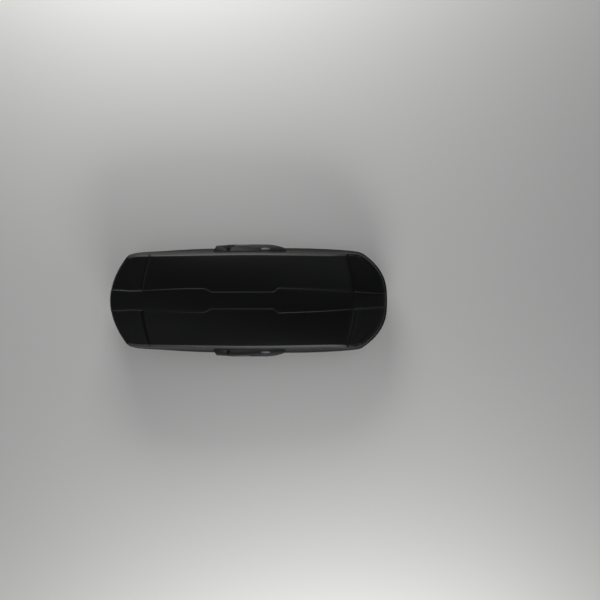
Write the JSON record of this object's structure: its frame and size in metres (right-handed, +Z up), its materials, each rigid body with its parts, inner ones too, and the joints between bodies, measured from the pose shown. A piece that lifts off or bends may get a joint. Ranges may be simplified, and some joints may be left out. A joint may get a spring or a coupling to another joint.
{
  "type": "roof cargo box",
  "caption": "Long low roof cargo box with a hinged dual-side lid, key locks, lid lifters and bar clamps that grip flat roof bars from inside.",
  "frame": {"origin": "middle of the box in plan, level with the lowest point of the bar clamps", "axes": "+X to the nose, +Y to the left side, +Z up"},
  "size_m": [2.3, 0.934, 0.4008],
  "materials": {
    "lid_gloss": "near-black moulded plastic with a satin gloss and a fine grain",
    "base_plastic": "black moulded plastic with a coarse matt grain",
    "opener_plastic": "black textured plastic",
    "key_metal": "dark lock rosette",
    "rail_aluminium": "extruded aluminium, satin anodised",
    "zinc_steel": "zinc-plated steel",
    "spring_steel": "oiled dark spring wire",
    "clamp_plastic": "glass-filled black nylon",
    "knob_plastic": "grey moulded grip",
    "jaw_steel": "steel jaw with a dipped rubber-like coat",
    "mat_felt": "dark needle-punched felt"
  },
  "bodies": {
    "base": {"base_shell": "base_plastic", "base_floor": "base_plastic", "base_rail_left": "rail_aluminium", "base_rail_right": "rail_aluminium", "hinge_post_rear_left": "zinc_steel", "hinge_post_rear_right": "zinc_steel", "hinge_post_middle_left": "zinc_steel", "hinge_post_middle_right": "zinc_steel", "hinge_post_front_left": "zinc_steel", "hinge_post_front_right": "zinc_steel", "lifter_post_rear_left": "zinc_steel", "lifter_post_rear_right": "zinc_steel", "lifter_post_front_left": "zinc_steel", "lifter_post_front_right": "zinc_steel", "lifter_spring_rear_left": "spring_steel", "lifter_spring_rear_right": "spring_steel", "lifter_spring_front_left": "spring_steel", "lifter_spring_front_right": "spring_steel", "clamp_track_left": "rail_aluminium", "clamp_track_right": "rail_aluminium", "base_mat": "mat_felt"},
    "left_arms": {"lifter_arm_rear_left": "clamp_plastic", "lifter_arm_front_left": "clamp_plastic"},
    "right_arms": {"lifter_arm_rear_right": "clamp_plastic", "lifter_arm_front_right": "clamp_plastic"},
    "lid": {"lid_shell": "lid_gloss", "lid_ledge_left": "base_plastic", "lid_ledge_right": "base_plastic", "lid_hoop_rear": "rail_aluminium", "lid_hoop_front": "rail_aluminium", "lid_rail_left": "rail_aluminium", "lid_rail_right": "rail_aluminium", "opener_housing_left": "opener_plastic", "opener_housing_right": "opener_plastic"},
    "lock_bar_left": {"lock_bar_left": "zinc_steel"},
    "grip_lever_left": {"grip_lever_left": "opener_plastic"},
    "key_plug_left": {"key_plug_left": "key_metal"},
    "lock_bar_right": {"lock_bar_right": "zinc_steel"},
    "grip_lever_right": {"grip_lever_right": "opener_plastic"},
    "key_plug_right": {"key_plug_right": "key_metal"},
    "clamp_rear_left_body": {"clamp_rear_left_body": "clamp_plastic"},
    "clamp_rear_left_knob": {"clamp_rear_left_knob": "knob_plastic"},
    "clamp_rear_left_yoke": {"clamp_rear_left_yoke": "zinc_steel"},
    "clamp_rear_left_jaw_front": {"clamp_rear_left_jaw_front": "jaw_steel"},
    "clamp_rear_left_jaw_rear": {"clamp_rear_left_jaw_rear": "jaw_steel"},
    "clamp_rear_right_body": {"clamp_rear_right_body": "clamp_plastic"},
    "clamp_rear_right_knob": {"clamp_rear_right_knob": "knob_plastic"},
    "clamp_rear_right_yoke": {"clamp_rear_right_yoke": "zinc_steel"},
    "clamp_rear_right_jaw_front": {"clamp_rear_right_jaw_front": "jaw_steel"},
    "clamp_rear_right_jaw_rear": {"clamp_rear_right_jaw_rear": "jaw_steel"},
    "clamp_front_left_body": {"clamp_front_left_body": "clamp_plastic"},
    "clamp_front_left_knob": {"clamp_front_left_knob": "knob_plastic"},
    "clamp_front_left_yoke": {"clamp_front_left_yoke": "zinc_steel"},
    "clamp_front_left_jaw_front": {"clamp_front_left_jaw_front": "jaw_steel"},
    "clamp_front_left_jaw_rear": {"clamp_front_left_jaw_rear": "jaw_steel"},
    "clamp_front_right_body": {"clamp_front_right_body": "clamp_plastic"},
    "clamp_front_right_knob": {"clamp_front_right_knob": "knob_plastic"},
    "clamp_front_right_yoke": {"clamp_front_right_yoke": "zinc_steel"},
    "clamp_front_right_jaw_front": {"clamp_front_right_jaw_front": "jaw_steel"},
    "clamp_front_right_jaw_rear": {"clamp_front_right_jaw_rear": "jaw_steel"}
  },
  "joints": [
    {"name": "lid_left_hinge", "type": "hinge", "parent": "base", "child": "left_arms", "pos_m": [0, 0.37, 0.158], "axis": [1, 0, 0], "range_deg": [-45, 0]},
    {"name": "lid_right_hinge", "type": "hinge", "parent": "left_arms", "child": "lid", "pos_m": [0, -0.37, 0.158], "axis": [1, 0, 0], "range_deg": [0, 45]},
    {"name": "right_arms_swing", "type": "hinge", "parent": "base", "child": "right_arms", "pos_m": [0, -0.37, 0.158], "axis": [1, 0, 0], "range_deg": [0, 45]},
    {"name": "key_left_turn", "type": "hinge", "parent": "lid", "child": "key_plug_left", "pos_m": [-0.174, 0.432, 0.20513], "axis": [0, 0.4008, 0.9162], "range_deg": [0, 90]},
    {"name": "lock_bar_left_slide", "type": "slide", "parent": "lid", "child": "lock_bar_left", "axis": [-1, 0, 0], "range_m": [0, 0.016]},
    {"name": "grip_lever_left_pull", "type": "hinge", "parent": "lid", "child": "grip_lever_left", "pos_m": [-0.059, 0.452, 0.1895], "axis": [1, 0, 0], "range_deg": [0, 25], "stiffness_Nm_per_rad": 0.2, "springref_deg": -34.38},
    {"name": "key_right_turn", "type": "hinge", "parent": "lid", "child": "key_plug_right", "pos_m": [-0.174, -0.432, 0.20513], "axis": [0, 0.4008, -0.9162], "range_deg": [0, 90]},
    {"name": "lock_bar_right_slide", "type": "slide", "parent": "lid", "child": "lock_bar_right", "axis": [-1, 0, 0], "range_m": [0, 0.016]},
    {"name": "grip_lever_right_pull", "type": "hinge", "parent": "lid", "child": "grip_lever_right", "pos_m": [-0.059, -0.452, 0.1895], "axis": [-1, 0, 0], "range_deg": [0, 25], "stiffness_Nm_per_rad": 0.2, "springref_deg": -34.38},
    {"name": "clamp_rear_left_slide", "type": "slide", "parent": "base", "child": "clamp_rear_left_body", "axis": [1, 0, 0], "range_m": [-0.05, 0.05]},
    {"name": "clamp_rear_left_knob_turn", "type": "hinge", "parent": "clamp_rear_left_body", "child": "clamp_rear_left_knob", "pos_m": [-0.463, 0.265, 0.117], "axis": [0, 0, 1], "range_deg": [0, 1080]},
    {"name": "clamp_rear_left_yoke_slide", "type": "slide", "parent": "clamp_rear_left_body", "child": "clamp_rear_left_yoke", "axis": [0, 0, -1], "range_m": [0, 0.0152]},
    {"name": "clamp_rear_left_jaw_front_swing", "type": "hinge", "parent": "clamp_rear_left_body", "child": "clamp_rear_left_jaw_front", "pos_m": [-0.413, 0.265, 0.078], "axis": [0, -1, 0], "range_deg": [0, 22]},
    {"name": "clamp_rear_left_jaw_rear_swing", "type": "hinge", "parent": "clamp_rear_left_body", "child": "clamp_rear_left_jaw_rear", "pos_m": [-0.513, 0.265, 0.078], "axis": [0, 1, 0], "range_deg": [0, 22]},
    {"name": "clamp_rear_right_slide", "type": "slide", "parent": "base", "child": "clamp_rear_right_body", "axis": [1, 0, 0], "range_m": [-0.05, 0.05]},
    {"name": "clamp_rear_right_knob_turn", "type": "hinge", "parent": "clamp_rear_right_body", "child": "clamp_rear_right_knob", "pos_m": [-0.463, -0.265, 0.117], "axis": [0, 0, 1], "range_deg": [0, 1080]},
    {"name": "clamp_rear_right_yoke_slide", "type": "slide", "parent": "clamp_rear_right_body", "child": "clamp_rear_right_yoke", "axis": [0, 0, -1], "range_m": [0, 0.0152]},
    {"name": "clamp_rear_right_jaw_front_swing", "type": "hinge", "parent": "clamp_rear_right_body", "child": "clamp_rear_right_jaw_front", "pos_m": [-0.413, -0.265, 0.078], "axis": [0, -1, 0], "range_deg": [0, 22]},
    {"name": "clamp_rear_right_jaw_rear_swing", "type": "hinge", "parent": "clamp_rear_right_body", "child": "clamp_rear_right_jaw_rear", "pos_m": [-0.513, -0.265, 0.078], "axis": [0, 1, 0], "range_deg": [0, 22]},
    {"name": "clamp_front_left_slide", "type": "slide", "parent": "base", "child": "clamp_front_left_body", "axis": [1, 0, 0], "range_m": [-0.05, 0.05]},
    {"name": "clamp_front_left_knob_turn", "type": "hinge", "parent": "clamp_front_left_body", "child": "clamp_front_left_knob", "pos_m": [0.275, 0.265, 0.117], "axis": [0, 0, 1], "range_deg": [0, 1080]},
    {"name": "clamp_front_left_yoke_slide", "type": "slide", "parent": "clamp_front_left_body", "child": "clamp_front_left_yoke", "axis": [0, 0, -1], "range_m": [0, 0.0152]},
    {"name": "clamp_front_left_jaw_front_swing", "type": "hinge", "parent": "clamp_front_left_body", "child": "clamp_front_left_jaw_front", "pos_m": [0.325, 0.265, 0.078], "axis": [0, -1, 0], "range_deg": [0, 22]},
    {"name": "clamp_front_left_jaw_rear_swing", "type": "hinge", "parent": "clamp_front_left_body", "child": "clamp_front_left_jaw_rear", "pos_m": [0.225, 0.265, 0.078], "axis": [0, 1, 0], "range_deg": [0, 22]},
    {"name": "clamp_front_right_slide", "type": "slide", "parent": "base", "child": "clamp_front_right_body", "axis": [1, 0, 0], "range_m": [-0.05, 0.05]},
    {"name": "clamp_front_right_knob_turn", "type": "hinge", "parent": "clamp_front_right_body", "child": "clamp_front_right_knob", "pos_m": [0.275, -0.265, 0.117], "axis": [0, 0, 1], "range_deg": [0, 1080]},
    {"name": "clamp_front_right_yoke_slide", "type": "slide", "parent": "clamp_front_right_body", "child": "clamp_front_right_yoke", "axis": [0, 0, -1], "range_m": [0, 0.0152]},
    {"name": "clamp_front_right_jaw_front_swing", "type": "hinge", "parent": "clamp_front_right_body", "child": "clamp_front_right_jaw_front", "pos_m": [0.325, -0.265, 0.078], "axis": [0, -1, 0], "range_deg": [0, 22]},
    {"name": "clamp_front_right_jaw_rear_swing", "type": "hinge", "parent": "clamp_front_right_body", "child": "clamp_front_right_jaw_rear", "pos_m": [0.225, -0.265, 0.078], "axis": [0, 1, 0], "range_deg": [0, 22]}
  ],
  "couplings": [
    {"joint": "right_arms_swing", "follows": "lid_right_hinge", "ratio": 1},
    {"joint": "key_left_turn", "follows": "lock_bar_left_slide", "rad_per_m": 98.175},
    {"joint": "key_right_turn", "follows": "lock_bar_right_slide", "rad_per_m": 98.175},
    {"joint": "clamp_rear_left_knob_turn", "follows": "clamp_rear_left_yoke_slide", "rad_per_m": 1240.1},
    {"joint": "clamp_rear_left_jaw_front_swing", "follows": "clamp_rear_left_yoke_slide", "rad_per_m": 25.261},
    {"joint": "clamp_rear_left_jaw_rear_swing", "follows": "clamp_rear_left_yoke_slide", "rad_per_m": 25.261},
    {"joint": "clamp_rear_right_knob_turn", "follows": "clamp_rear_right_yoke_slide", "rad_per_m": 1240.1},
    {"joint": "clamp_rear_right_jaw_front_swing", "follows": "clamp_rear_right_yoke_slide", "rad_per_m": 25.261},
    {"joint": "clamp_rear_right_jaw_rear_swing", "follows": "clamp_rear_right_yoke_slide", "rad_per_m": 25.261},
    {"joint": "clamp_front_left_knob_turn", "follows": "clamp_front_left_yoke_slide", "rad_per_m": 1240.1},
    {"joint": "clamp_front_left_jaw_front_swing", "follows": "clamp_front_left_yoke_slide", "rad_per_m": 25.261},
    {"joint": "clamp_front_left_jaw_rear_swing", "follows": "clamp_front_left_yoke_slide", "rad_per_m": 25.261},
    {"joint": "clamp_front_right_knob_turn", "follows": "clamp_front_right_yoke_slide", "rad_per_m": 1240.1},
    {"joint": "clamp_front_right_jaw_front_swing", "follows": "clamp_front_right_yoke_slide", "rad_per_m": 25.261},
    {"joint": "clamp_front_right_jaw_rear_swing", "follows": "clamp_front_right_yoke_slide", "rad_per_m": 25.261}
  ]
}
